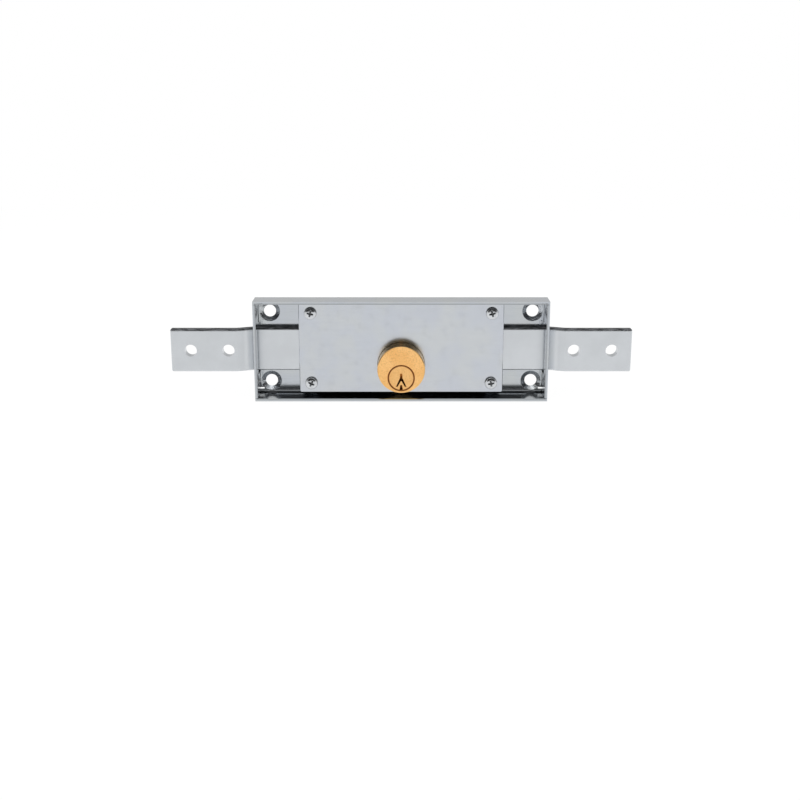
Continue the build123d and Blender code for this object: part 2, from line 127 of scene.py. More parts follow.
def mount(name):
    """A mount of the record, such as a row of holes."""
    return next(item for item in frame["record"]["mounts"] if item["name"] == name)


def new_object(name, data):
    """Put a mesh, a lamp or a camera in the scene as a new object."""
    item = bpy.data.objects.new(name, data)
    bpy.context.scene.collection.objects.link(item)
    return item


def colour_setting(name, description, default):
    """A colour that a user may change."""
    return bpy.props.FloatVectorProperty(
        name=name, description=description, default=default, subtype="COLOR", min=0, max=1
    )


def length_setting(name, description, default):
    """A length that a user may change, in metres."""
    return bpy.props.FloatProperty(
        name=name, description=description, default=default, unit="LENGTH", precision=5
    )


def share_setting(name, description, default):
    """A share from 0 to 1 that a user may change."""
    return bpy.props.FloatProperty(
        name=name, description=description, default=default, subtype="FACTOR", min=0, max=1
    )


class FinishSettings(bpy.types.PropertyGroup):
    """Colours and polish of the metals"""

    case_colour: colour_setting("Case", "Satin zinc of the case", (0.5, 0.525, 0.55))
    cover_colour: colour_setting("Cover", "Smooth zinc of the cover", (0.56, 0.585, 0.62))
    bar_colour: colour_setting("Bars", "Zinc on the bars' faces", (0.64, 0.665, 0.69))
    # Painted light: a brighter zinc on the bars just outside the case, against the shade of its
    # end walls
    past_wall_light_colour: colour_setting("Rub marks", "Zinc that the slots polish", (0.9, 0.92, 0.94))
    # Painted shade: a dark base colour for the bars' upper and lower edges, standing for the dark
    # that they mirror
    bar_edge_shade_colour: colour_setting("Bar edges", "Dull rolled edges", (0.14, 0.145, 0.155))
    brass_colour: colour_setting("Brass", "Turned brass", (0.9, 0.53, 0.21))
    # A yellower brass for the cylinder's round side
    side_brass_colour: colour_setting("Tarnish", "Brass of the round side", (0.9, 0.62, 0.25))
    # A darker brown for the ring where the plug meets the body
    plug_ring_colour: colour_setting("Dirt", "Old grease in the gaps", (0.42, 0.17, 0.05))
    machined_colour: colour_setting("Machined steel", "Gears and pins", (0.46, 0.47, 0.48))
    screw_colour: colour_setting("Screws", "Bright zinc", (0.62, 0.64, 0.66))
    wire_colour: colour_setting("Wire", "Drawn spring wire", (0.42, 0.43, 0.45))
    case_roughness: share_setting("Case roughness", "Blur of the case's gloss", 0.15)
    cover_roughness: share_setting("Cover roughness", "Blur of the cover's gloss", 0.2)
    bar_roughness: share_setting("Bar roughness", "Blur of the bars' gloss", 0.3)
    brass_roughness: share_setting("Brass roughness", "Blur of the brass's gloss", 0.24)


class ScrewSettings(bpy.types.PropertyGroup):
    """Sizes of the screws"""

    pan_radius: length_setting("Pan head", "Radius of a cover screw's head", 3.2 * MM)
    pan_height: length_setting("Pan height", "Height of a cover screw's head", 1.9 * MM)
    pan_crown: length_setting("Crown", "Rise of the head's middle over its shoulder", 0.42 * MM)
    pan_rounding: length_setting("Rounding", "Radius of the head's shoulder", 0.35 * MM)
    thread_radius: length_setting("Thread", "Radius of a three millimetre thread", 1.5 * MM)
    flat_radius: length_setting("Flat head", "Radius of a countersunk head", 2.8 * MM)
    pinion_radius: length_setting("Pinion thread", "Radius of its screw's thread", 1.25 * MM)
    pinion_head: length_setting("Pinion head", "Radius of its screw's head", 2.3 * MM)
    recess_width: length_setting("Recess width", "Width of a wing of the recess", 0.8 * MM)
    pan_recess: length_setting("Pan recess", "Span of a cover screw's recess", 3.5 * MM)
    pan_depth: length_setting("Pan depth", "Depth of a cover screw's recess", 1.35 * MM)
    flat_recess: length_setting("Flat recess", "Span of the other recesses", 2.9 * MM)
    flat_depth: length_setting("Flat depth", "Depth of a cylinder screw's recess", 1.1 * MM)
    pinion_depth: length_setting("Pinion depth", "Depth of its screw's recess", 0.9 * MM)
    turn_seed: bpy.props.IntProperty(
        name="Turn seed", description="Seed of the angles the screws stop at", default=4
    )


class SpringSettings(bpy.types.PropertyGroup):
    """Sizes of the pin springs"""

    wire: length_setting("Wire", "Diameter of the wire", 0.34 * MM)
    turns: bpy.props.IntProperty(
        name="Turns", description="Turns of each spring", default=6, min=2
    )
    closing: share_setting("Closing", "How much closer the turns lie at both ends", 0.5)


class StageSettings(bpy.types.PropertyGroup):
    """Camera, floor and light"""

    lens: bpy.props.FloatProperty(
        name="Lens", description="Focal length", default=51.4, unit="CAMERA"
    )
    sensor: bpy.props.FloatProperty(
        name="Sensor", description="Width of the sensor", default=36, unit="CAMERA"
    )
    camera_place: bpy.props.FloatVectorProperty(
        name="Camera", description="Place of the camera", default=(0, -0.5959, 0.1502),
        subtype="TRANSLATION",
    )
    camera_target: bpy.props.FloatVectorProperty(
        name="Target", description="Point the camera faces", default=(0, -0.015, 0),
        subtype="TRANSLATION",
    )
    shift: bpy.props.FloatVectorProperty(
        name="Shift", description="Shift of the picture", default=(-0.0015, -0.0596), size=2
    )
    floor_width: length_setting("Floor", "Width of the floor", 6)
    shadow: share_setting("Shadow", "How much of the floor takes the shadow", 0.15)
    floor_light: share_setting("Floor light", "Light that the open floor gets", 0.42)
    fade_start: length_setting("Fade start", "Where the shadow starts to fade", 0.3)
    fade_end: length_setting("Fade end", "Where the floor is plain white", 0.9)
    key_power: bpy.props.FloatProperty(
        name="Key light", description="Power of the soft light over the front", default=1.6,
        unit="POWER",
    )
    key_size: bpy.props.FloatVectorProperty(
        name="Key size", description="Width and height of the soft light", default=(0.9, 0.4),
        size=2, unit="LENGTH",
    )
    key_place: bpy.props.FloatVectorProperty(
        name="Key place", description="Place of the soft light", default=(0, -1.12, 1.15),
        subtype="TRANSLATION",
    )


class Number:
    """A number in a node tree. Sums and products of it add Math nodes."""

    def __init__(self, tree, socket):
        self.tree = tree
        self.socket = socket

    def math(self, operation, *values):
        inputs = dict(enumerate(values))
        node = self.tree.add("ShaderNodeMath", {"operation": operation}, inputs)
        return Number(self.tree, node.outputs[0])

    def __add__(self, other):
        return self.math("ADD", self, other)

    def __radd__(self, other):
        return self.math("ADD", other, self)

    def __sub__(self, other):
        return self.math("SUBTRACT", self, other)

    def __rsub__(self, other):
        return self.math("SUBTRACT", other, self)

    def __mul__(self, other):
        return self.math("MULTIPLY", self, other)

    def __rmul__(self, other):
        return self.math("MULTIPLY", other, self)

    def __truediv__(self, other):
        return self.math("DIVIDE", self, other)

    def __mod__(self, other):
        return self.math("FLOORED_MODULO", self, other)

    def __abs__(self):
        return self.math("ABSOLUTE", self)

    def floor(self):
        return self.math("FLOOR", self)

    def root(self):
        return self.math("SQRT", self)

    def sine(self):
        return self.math("SINE", self)

    def larger(self, other):
        return self.math("MAXIMUM", self, other)

    def smaller(self, other):
        return self.math("MINIMUM", self, other)

    def rise(self, start, end):
        """0 before start and 1 past end, with a smooth step between them."""
        node = self.tree.add(
            "ShaderNodeMapRange",
            {"interpolation_type": "SMOOTHSTEP"},
            {"Value": self, "From Min": start, "From Max": end},
        )
        return Number(self.tree, node.outputs["Result"])


class Tree:
    """Adds nodes to one node tree."""

    def __init__(self, tree):
        self.tree = tree
        tree.nodes.clear()

    def add(self, kind, settings=None, inputs=None):
        """Add a node. Its settings are set first, then the values or links of its sockets."""
        node = self.tree.nodes.new(kind)
        for name, value in (settings or {}).items():
            if name == "stops":
                self.set_stops(node.color_ramp, value)
            else:
                setattr(node, name, value)
        for name, value in (inputs or {}).items():
            socket = self.find(node.inputs, name)
            if isinstance(value, Number):
                self.tree.links.new(value.socket, socket)
            elif isinstance(value, bpy.types.NodeSocket):
                self.tree.links.new(value, socket)
            else:
                socket.default_value = value
        return node

    @staticmethod
    def find(sockets, name):
        if isinstance(name, int):
            return sockets[name]
        for socket in sockets:
            if socket.identifier == name:
                return socket
        return sockets[name]

    @staticmethod
    def set_stops(ramp, stops):
        while len(ramp.elements) < len(stops):
            ramp.elements.new(1)
        for element, (position, colour) in zip(ramp.elements, stops):
            element.position = position
            element.color = colour if hasattr(colour, "__len__") else (colour,) * 3 + (1,)

    def number(self, socket):
        return Number(self, socket)

    def mix(self, first, second, share):
        """Blend two colours."""
        node = self.add(
            "ShaderNodeMix",
            {"data_type": "RGBA", "clamp_factor": True},
            {"Factor_Float": share, "A_Color": first, "B_Color": second},
        )
        return self.find(node.outputs, "Result_Color")

    def split(self, vector):
        """The three numbers of a vector."""
        node = self.add("ShaderNodeSeparateXYZ", inputs={0: vector})
        return [Number(self, output) for output in node.outputs]


def rgba(colour, level=1.0):
    """A colour with its alpha, brighter or darker by a level."""
    return (*(channel * level for channel in colour), 1)


class Finish(Tree):
    """A metal, with the object's coordinates at hand."""

    def __init__(self, name):
        self.material = bpy.data.materials.new(name)
        self.material.use_nodes = True
        super().__init__(self.material.node_tree)
        coordinates = self.add("ShaderNodeTexCoord")
        self.place = coordinates.outputs["Object"]
        self.facing = coordinates.outputs["Normal"]

    def noise(self, pitch, stretch=(1, 1, 1), detail=2.0, start=(0, 0, 0)):
        """Noise whose spots are a pitch apart in metres, longer along the axes it is stretched."""
        mapping = self.add(
            "ShaderNodeMapping",
            inputs={
                "Vector": self.place,
                "Location": start,
                "Scale": tuple(1 / (pitch * s) for s in stretch),
            },
        )
        node = self.add(
            "ShaderNodeTexNoise",
            inputs={"Vector": mapping.outputs[0], "Scale": 1.0, "Detail": detail},
        )
        return self.number(node.outputs["Fac"])

    def radius_from(self, x, z, mirrored=False):
        """The distance from an axis that runs from front to back, or from its mirror images."""
        here_x, _, here_z = self.split(self.place)
        if mirrored:
            here_x = abs(here_x)
            here_z = abs(here_z)
        across = here_x - x
        up = here_z - z
        return (across * across + up * up).root()

    def lathe_marks(self, radius, pitch):
        """Rings of random height round an axis."""
        node = self.add(
            "ShaderNodeTexNoise",
            {"noise_dimensions": "1D"},
            {"W": radius / pitch, "Scale": 1.0, "Detail": 2.0},
        )
        return self.number(node.outputs["Fac"])

    def close(self, colour, roughness, height, depth, metallic=1.0):
        """Join the colour, the roughness and the relief of the surface in one metal."""
        bump = self.add(
            "ShaderNodeBump", inputs={"Height": height, "Distance": depth, "Strength": 1.0}
        )
        surface = self.add(
            "ShaderNodeBsdfPrincipled",
            inputs={
                "Base Color": colour,
                "Roughness": roughness,
                "Metallic": metallic,
                "Normal": bump.outputs[0],
            },
        )
        self.add("ShaderNodeOutputMaterial", inputs={"Surface": surface.outputs[0]})
        return self.material


def sheet_zinc(metal, colour, roughness, grain):
    """Zinc on cold rolled sheet: cloudy, with a fine grain along the lock."""
    clouds = metal.noise(14 * MM, detail=3.0)
    patches = metal.noise(5 * MM, start=(3, 1, 7))
    streaks = metal.noise(0.35 * MM, stretch=(40, 1, 1), detail=3.0)
    speckle = metal.noise(0.5 * MM, detail=1.0)
    cool = rgba((colour[0] * 0.98, colour[1] * 0.985, colour[2] * 1.01))
    warm = rgba((colour[0] * 1.02, colour[1] * 1.015, colour[2] * 0.99))
    tint = metal.mix(cool, warm, clouds.rise(0.35, 0.65))
    dull = metal.mix(tint, rgba(colour, 0.9), patches.rise(0.5, 0.8) * 0.4)
    shade = metal.mix(dull, rgba(colour, 0.9), streaks.rise(0.45, 0.75) * grain)
    blur = roughness + (patches - 0.5) * 0.08 + (streaks - 0.5) * 0.1 * grain
    height = streaks * grain + speckle * 0.3
    return shade, blur, height


def case_zinc(name, finish):
    """The case's zinc: torn along its rim, chattered in the countersinks, dented at the ends."""
    metal = Finish(name)
    colour = finish.case_colour
    shade, blur, height = sheet_zinc(metal, colour, finish.case_roughness, 0.6)
    low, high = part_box("case")
    x, y, z = metal.split(metal.place)
    from_end = high.x - abs(x)
    inward = from_end.smaller(high.z - abs(z))
    # The inner half of the rim, where the sheet tore off
    at_front = 1 - y.rise(low.y + 0.05 * MM, low.y + 0.2 * MM)
    torn = inward.rise(CASE_SHEET * 0.45, CASE_SHEET * 0.7) * at_front
    shade = metal.mix(shade, rgba(colour, 0.7), torn)
    # The countersinks, where the tool chattered
    spacing = mount("fixing_holes")["dims"]
    radius = metal.radius_from(
        spacing["spacing_x_mm"] / 2 * MM, spacing["spacing_y_mm"] / 2 * MM, mirrored=True
    )
    sunk = 1 - radius.rise(FIXING_SINK * 0.97, FIXING_SINK)
    chatter = metal.noise(0.8 * MM, start=(2, 8, 4))
    # The inside near the end walls, which the bending tool dented
    inner_skin = inward.rise(CASE_SHEET * 0.4, CASE_SHEET * 0.9)
    inside = inner_skin * (1 - y.rise(-CASE_SHEET * 0.9, -CASE_SHEET * 0.2))
    at_end = (1 - from_end.rise(4 * MM, 9 * MM)) * inside
    dents = metal.noise(1.6 * MM, start=(6, 2, 1))
    # Painted shade in the bottom fold and under the top wall
    fold_shade = 1 - (z - low.z).rise(CASE_SHEET * 1.5, CASE_SHEET * 2.3)
    at_back = y.rise(-CASE_SHEET * 2.4, -CASE_SHEET * 1.7)
    _, _, up = metal.split(metal.facing)
    roof_shade = (0 - up).rise(0.8, 0.95) * inner_skin
    grime = (fold_shade * at_back * inside * 0.9).larger(roof_shade)
    shade = metal.mix(shade, rgba(colour, 0.22), grime)
    height = height + sunk * chatter * SINK_CHATTER + at_end * dents * END_DENTS
    return metal.close(shade, blur, height, SHEET_RELIEF)


def cover_zinc(name, finish):
    """The cover's zinc, smoother than the case's."""
    metal = Finish(name)
    shade, blur, height = sheet_zinc(metal, finish.cover_colour, finish.cover_roughness, 0.2)
    return metal.close(shade, blur, height, SHEET_RELIEF)


def bar_zinc(name, finish):
    """Zinc on drawn bar: satin faces, rougher mottled edges under a dark painted shade, and
    painted light just outside the case's end walls.
    """
    metal = Finish(name)
    _, _, up = metal.split(metal.facing)
    x, _, z = metal.split(metal.place)
    # The upper and lower edges, without the walls of the rod holes
    rod_hole = mount("right_rod_holes")
    hole_radius = rod_hole["dims"]["hole_r_mm"] * MM
    off_holes = abs(z - rod_hole["pos_m"][2]).rise(hole_radius * 1.05, hole_radius * 1.3)
    edge = up.rise(0.2, 0.5).larger((0 - up).rise(0.7, 0.95)) * off_holes
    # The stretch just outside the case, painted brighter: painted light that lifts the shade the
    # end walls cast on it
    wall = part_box("case")[1].x
    past_wall = abs(x) - wall
    painted_wall_light = past_wall.rise(-1 * MM, 0.5 * MM) * (1 - past_wall.rise(3 * MM, 6.5 * MM))
    clouds = metal.noise(11 * MM, detail=3.0)
    scale = metal.noise(1.8 * MM, stretch=(2.5, 1, 1), detail=3.0)
    grain = metal.noise(0.3 * MM, stretch=(50, 1, 1))
    colour = finish.bar_colour
    face = metal.mix(rgba(colour, 0.96), rgba(colour, 1.03), clouds.rise(0.3, 0.7))
    # Painted shade: the edges' dark base colour stands for the dark that they mirror; their
    # mottling and roughness are their own
    dark = finish.bar_edge_shade_colour
    painted_edge_shade = metal.mix(rgba(dark, 0.4), rgba(dark, 2.4), scale.rise(0.35, 0.7))
    face_with_wall_light = metal.mix(face, rgba(finish.past_wall_light_colour), painted_wall_light)
    shade = metal.mix(face_with_wall_light, painted_edge_shade, edge)
    blur = finish.bar_roughness + edge * 0.3 + (clouds - 0.5) * 0.06
    height = grain * (0.6 + edge) + scale * edge * EDGE_SCALE
    return metal.close(shade, blur, height, GRAIN_RELIEF, 1 - edge * 0.6)


def turned_brass(name, finish, axis, groove_radius, groove_axis, level):
    """Brass faced on a lathe, with a yellower brass round its side and a darker brown ring round
    the plug.
    """
    metal = Finish(name)
    rings = metal.lathe_marks(metal.radius_from(*axis), 0.12 * MM)
    clouds = metal.noise(8 * MM, detail=3.0)
    specks = metal.noise(0.6 * MM, detail=3.0, start=(5, 2, 9))
    colour = finish.brass_colour
    warm = (colour[0] * 0.97, colour[1] * 0.91, colour[2] * 0.82)
    tint = metal.mix(rgba(warm, level), rgba(colour, 1.05 * level), clouds.rise(0.35, 0.65))
    spotted = metal.mix(tint, rgba(warm, 0.7), specks.rise(0.45, 0.75) * 0.6)
    _, ahead, _ = metal.split(metal.facing)
    # The round side gets a yellower brass than the face
    sided = metal.mix(rgba(finish.side_brass_colour), spotted, abs(ahead).rise(0.3, 0.9))
    # A darker brown ring where the plug meets the body
    off_groove = abs(metal.radius_from(*groove_axis) - groove_radius)
    groove = 1 - off_groove.rise(0.3 * MM, 0.6 * MM)
    shade = metal.mix(sided, rgba(finish.plug_ring_colour), groove * 0.9)
    blur = finish.brass_roughness + (rings - 0.5) * 0.1 + groove * 0.2
    return metal.close(shade, blur, rings + specks * 0.5, LATHE_RELIEF)


def plain_brass(name, finish):
    """Turned brass of the pins."""
    metal = Finish(name)
    clouds = metal.noise(1.5 * MM, detail=3.0)
    marks = metal.noise(0.12 * MM, stretch=(1, 1, 8))
    colour = finish.brass_colour
    shade = metal.mix(rgba(colour, 0.72), rgba(colour, 0.92), clouds.rise(0.3, 0.7))
    blur = finish.brass_roughness + (clouds - 0.5) * 0.12
    return metal.close(shade, blur, marks, GRAIN_RELIEF)


def machined_steel(name, finish, axis):
    """Oiled steel with the rings of a lathe tool round its own axis."""
    metal = Finish(name)
    rings = metal.lathe_marks(metal.radius_from(*axis), 0.15 * MM)
    clouds = metal.noise(2.5 * MM, detail=3.0)
    colour = finish.machined_colour
    shade = metal.mix(rgba(colour, 0.75), rgba(colour, 1.05), clouds.rise(0.3, 0.7))
    blur = 0.26 + (rings - 0.5) * 0.14 + (clouds - 0.5) * 0.1
    return metal.close(shade, blur, rings, MACHINED_RELIEF)


def bright_screw(name, finish):
    """Bright zinc with painted shade in the recess and round the foot of the head."""
    metal = Finish(name)
    grime = metal.number(
        metal.add("ShaderNodeAttribute", {"attribute_name": "grime"}).outputs["Fac"]
    )
    clouds = metal.noise(1.6 * MM, detail=3.0)
    scratches = metal.noise(0.15 * MM, detail=3.0)
    colour = finish.screw_colour
    plated = metal.mix(rgba(colour, 0.9), rgba(colour, 1.06), clouds.rise(0.3, 0.7))
    # Painted shade in the recess and round the foot of the head
    shade = metal.mix(plated, rgba(colour, 0.12), grime.rise(0.05, 0.7) * 0.85)
    blur = 0.17 + grime * 0.2 + (clouds - 0.5) * 0.08
    return metal.close(shade, blur, scratches, GRAIN_RELIEF)


def spring_wire(name, finish):
    """Drawn wire, dark in places."""
    metal = Finish(name)
    clouds = metal.noise(0.8 * MM, detail=3.0)
    colour = finish.wire_colour
    shade = metal.mix(rgba(colour, 0.8), rgba(colour, 1.1), clouds.rise(0.3, 0.7))
    blur = 0.22 + (clouds - 0.5) * 0.1
    return metal.close(shade, blur, clouds, GRAIN_RELIEF)


def dress(node, material):
    """Give a solid of the frame its finish."""
    for slot in frame["nodes"][node].material_slots:
        slot.material = material


def turned_shell(name, profile):
    """A closed solid turned round +Z. The profile starts and ends on the axis."""
    mesh = bpy.data.meshes.new(name)
    shell = bmesh.new()
    turn = 2 * math.pi / SHELL_SEGMENTS
    rings = []
    for radius, height in profile:
        ring = []
        for i in range(SHELL_SEGMENTS if radius else 1):
            x = radius * math.cos(i * turn)
            y = radius * math.sin(i * turn)
            ring.append(shell.verts.new((x, y, height)))
        rings.append(ring)
    for upper, lower in zip(rings, rings[1:]):
        for i in range(SHELL_SEGMENTS):
            after = (i + 1) % SHELL_SEGMENTS
            corners = [upper[i % len(upper)], lower[i % len(lower)]]
            if len(lower) > 1:
                corners.append(lower[after])
            if len(upper) > 1:
                corners.append(upper[after])
            shell.faces.new(corners)
    bmesh.ops.recalc_face_normals(shell, faces=shell.faces)
    shell.to_mesh(mesh)
    shell.free()
    return new_object(name, mesh)


def cross_cutter(span, width, top, depth):
    """A cross with tapered wings, as the driver that fits the recess."""
    mesh = bpy.data.meshes.new("cross_cutter")
    cutter = bmesh.new()
    # Each level has its height, its share of the span and its share of the width.
    levels = [
        (top + depth * 0.3, 1.1, 1.05),
        (top - depth * 0.45, 0.86, 0.85),
        (top - depth, 0.28, 0.5),
    ]
    rings = []
    for height, long_share, wide_share in levels:
        far = span / 2 * long_share
        near = width / 2 * wide_share
        notch = near * 1.35
        quarter = [(far, -near), (far, near), (notch, notch)]
        ring = []
        for turn in range(4):
            for x, y in quarter:
                for _ in range(turn):
                    x, y = -y, x
                ring.append(cutter.verts.new((x, y, height)))
        rings.append(ring)
    for upper, lower in zip(rings, rings[1:]):
        for i in range(len(upper)):
            after = (i + 1) % len(upper)
            cutter.faces.new((upper[i], lower[i], lower[after], upper[after]))
    cutter.faces.new(rings[0])
    cutter.faces.new(reversed(rings[-1]))
    bmesh.ops.recalc_face_normals(cutter, faces=cutter.faces)
    cutter.to_mesh(mesh)
    cutter.free()
    return new_object("cross_cutter", mesh)


def finished_mesh(part):
    """The part's mesh with its modifiers applied. The part itself is removed."""
    depsgraph = bpy.context.evaluated_depsgraph_get()
    mesh = bpy.data.meshes.new_from_object(part.evaluated_get(depsgraph), depsgraph=depsgraph)
    bpy.data.objects.remove(part)
    return mesh


def paint_recess_shade(mesh, span, top, depth):
    """Mark how much painted shade the recess and the foot of a pan head get, from 0, none, to 1.
    """
    grime = mesh.attributes.new("grime", "FLOAT", "POINT")
    # The recess, with a little room for rounding errors
    reach = span / 2 * 1.03
    floor = top - depth * 1.01
    for vertex, value in zip(mesh.vertices, grime.data):
        height = vertex.co.z
        if vertex.co.xy.length < reach and height > floor:
            shade_share = (top - 0.1 * MM - height) / depth
        elif top:
            shade_share = (top * 0.78 - height) / (top * 0.2)
        else:
            shade_share = 0.0
        value.value = max(0.0, min(1.0, shade_share))


def recessed_screw(name, profile, span, width, top, depth):
    """Press the cross recess into a turned screw and ease its edges."""
    blank = turned_shell(name, profile)
    cutter = cross_cutter(span, width, top, depth)
    press = blank.modifiers.new("press", "BOOLEAN")
    press.operation = "DIFFERENCE"
    press.solver = "EXACT"
    press.object = cutter
    ease = blank.modifiers.new("ease", "BEVEL")
    ease.width = RECESS_EASE
    ease.segments = 2
    ease.limit_method = "ANGLE"
    ease.angle_limit = EASED_ANGLE
    ease.harden_normals = False
    mesh = finished_mesh(blank)
    bpy.data.objects.remove(cutter)
    paint_recess_shade(mesh, span, top, depth)
    for polygon in mesh.polygons:
        polygon.use_smooth = True
    mesh.set_sharp_from_angle(angle=SHARP_ANGLE)
    return mesh


def lead_in(thread, length):
    """The outline of a thread's end, down to the axis."""
    return [(thread, LEAD_IN_LENGTH - length), (thread - LEAD_IN_DEPTH, -length), (0, -length)]


def pan_profile(screws, length):
    """The outline of a pan head screw that stands on the plane z = 0, from the top down."""
    radius = screws.pan_radius
    rounding = screws.pan_rounding
    shoulder = screws.pan_height - screws.pan_crown
    outline = [(0, screws.pan_height)]
    for i in range(1, CROWN_STEPS):
        share = i / CROWN_STEPS
        outline.append(
            (share * (radius - rounding), screws.pan_height - screws.pan_crown * share**3)
        )
    for i in range(SHOULDER_STEPS + 1):
        angle = math.pi / 2 * (1 - i / SHOULDER_STEPS)
        outline.append(
            (
                radius - rounding + rounding * math.cos(angle),
                shoulder - rounding + rounding * math.sin(angle),
            )
        )
    return [
        *outline,
        (radius, HEAD_EDGE),
        (radius - HEAD_EDGE, 0),
        (screws.thread_radius, 0),
        *lead_in(screws.thread_radius, length),
    ]


def flat_profile(head, thread, length):
    """The outline of a countersunk screw whose head lies in the plane z = 0."""
    return [
        (0, 0),
        (head / 2, 0),
        (head - FLAT_HEAD_EDGE, 0),
        (head - FLAT_HEAD_EDGE / 4, -FLAT_HEAD_EDGE),
        (thread, thread - head),
        *lead_in(thread, length),
    ]


def modifier_tree(name, sockets):
    """A Geometry Nodes tree with named inputs, and the sockets that give their values."""
    group = bpy.data.node_groups.new(name, "GeometryNodeTree")
    tree = Tree(group)
    for label, kind in sockets:
        group.interface.new_socket(label, in_out="INPUT", socket_type=kind)
    group.interface.new_socket("Geometry", in_out="OUTPUT", socket_type="NodeSocketGeometry")
    inputs = tree.add("NodeGroupInput").outputs
    return tree, inputs


def end_tree(tree, geometry, material):
    """Make the instances real, set the material and hand the geometry out."""
    real = tree.add("GeometryNodeRealizeInstances", inputs={"Geometry": geometry})
    coated = tree.add(
        "GeometryNodeSetMaterial", inputs={"Geometry": real.outputs[0], "Material": material}
    )
    tree.add("NodeGroupOutput", inputs={0: coated.outputs[0]})
    return tree.tree


def grown(name, group, values):
    """Evaluate a tree with its inputs on a new object and keep the result as a plain mesh."""
    carrier = new_object(f"{name}_carrier", bpy.data.meshes.new(name))
    modifier = carrier.modifiers.new(name, "NODES")
    modifier.node_group = group
    for item in group.interface.items_tree:
        if item.in_out == "INPUT":
            modifier[item.identifier] = values[item.name]
    return new_object(name, finished_mesh(carrier))


def screw_rows_tree():
    """Columns and rows of one screw, each turned to an angle of its own."""
    tree, inputs = modifier_tree(
        "screw_rows",
        [
            ("Screw", "NodeSocketObject"),
            ("Columns", "NodeSocketInt"),
            ("Rows", "NodeSocketInt"),
            ("Column Pitch", "NodeSocketFloat"),
            ("Row Pitch", "NodeSocketFloat"),
            ("Centre", "NodeSocketVector"),
            ("Facing", "NodeSocketVector"),
            ("Turn", "NodeSocketFloat"),
            ("Seed", "NodeSocketInt"),
            ("Material", "NodeSocketMaterial"),
        ],
    )
    columns = tree.number(inputs["Columns"])
    rows = tree.number(inputs["Rows"])
    index = tree.number(tree.add("GeometryNodeInputIndex").outputs[0])
    column = index % columns - (columns - 1) * 0.5
    row = (index / columns).floor() - (rows - 1) * 0.5
    place = tree.add(
        "ShaderNodeCombineXYZ",
        inputs={
            "X": column * tree.number(inputs["Column Pitch"]),
            "Y": row * tree.number(inputs["Row Pitch"]),
        },
    )
    points = tree.add(
        "GeometryNodePoints",
        inputs={"Count": columns * rows, "Position": place.outputs[0]},
    )
    angle = tree.add(
        "FunctionNodeRandomValue",
        {"data_type": "FLOAT"},
        {"Min_001": 0.0, "Max_001": inputs["Turn"], "Seed": inputs["Seed"]},
    )
    turn = tree.add(
        "ShaderNodeCombineXYZ", inputs={"Z": Tree.find(angle.outputs, "Value_001")}
    )
    screw = tree.add("GeometryNodeObjectInfo", inputs={"Object": inputs["Screw"]})
    copies = tree.add(
        "GeometryNodeInstanceOnPoints",
        inputs={
            "Points": points.outputs[0],
            "Instance": screw.outputs["Geometry"],
            "Rotation": turn.outputs[0],
        },
    )
    placed = tree.add(
        "GeometryNodeTransform",
        inputs={
            "Geometry": copies.outputs[0],
            "Translation": inputs["Centre"],
            "Rotation": inputs["Facing"],
        },
    )
    return end_tree(tree, placed.outputs[0], inputs["Material"])


def spring_row_tree():
    """A row of coil springs along Y whose end turns lie close together."""
    tree, inputs = modifier_tree(
        "spring_row",
        [
            ("Count", "NodeSocketInt"),
            ("Pitch", "NodeSocketFloat"),
            ("First", "NodeSocketVector"),
            ("Radius", "NodeSocketFloat"),
            ("Height", "NodeSocketFloat"),
            ("Turns", "NodeSocketInt"),
            ("Wire", "NodeSocketFloat"),
            ("Closing", "NodeSocketFloat"),
            ("Material", "NodeSocketMaterial"),
        ],
    )
    turns = tree.number(inputs["Turns"])
    helix = tree.add(
        "GeometryNodeCurveSpiral",
        inputs={
            "Resolution": HELIX_STEPS,
            "Rotations": turns,
            "Start Radius": inputs["Radius"],
            "End Radius": inputs["Radius"],
            "Height": inputs["Height"],
        },
    )
    index = tree.number(tree.add("GeometryNodeInputIndex").outputs[0])
    along = index / (turns * HELIX_STEPS)
    swing = (along * (2 * math.pi)).sine() * tree.number(inputs["Closing"])
    height = (along - swing / (2 * math.pi)) * tree.number(inputs["Height"])
    here = tree.add("GeometryNodeInputPosition").outputs[0]
    x, y, _ = tree.split(here)
    wound = tree.add("ShaderNodeCombineXYZ", inputs={"X": x, "Y": y, "Z": height})
    closed = tree.add(
        "GeometryNodeSetPosition",
        inputs={"Geometry": helix.outputs[0], "Position": wound.outputs[0]},
    )
    round_wire = tree.add(
        "GeometryNodeCurvePrimitiveCircle",
        inputs={"Resolution": WIRE_SIDES, "Radius": tree.number(inputs["Wire"]) * 0.5},
    )
    coil = tree.add(
        "GeometryNodeCurveToMesh",
        inputs={
            "Curve": closed.outputs[0],
            "Profile Curve": round_wire.outputs[0],
            "Fill Caps": True,
        },
    )
    offset = tree.add(
        "ShaderNodeCombineXYZ", inputs={"Y": index * tree.number(inputs["Pitch"])}
    )
    place = tree.add(
        "ShaderNodeVectorMath",
        {"operation": "ADD"},
        {0: inputs["First"], 1: offset.outputs[0]},
    )
    points = tree.add(
        "GeometryNodePoints",
        inputs={"Count": inputs["Count"], "Position": place.outputs[0]},
    )
    copies = tree.add(
        "GeometryNodeInstanceOnPoints",
        inputs={"Points": points.outputs[0], "Instance": coil.outputs[0]},
    )
    return end_tree(tree, copies.outputs[0], inputs["Material"])


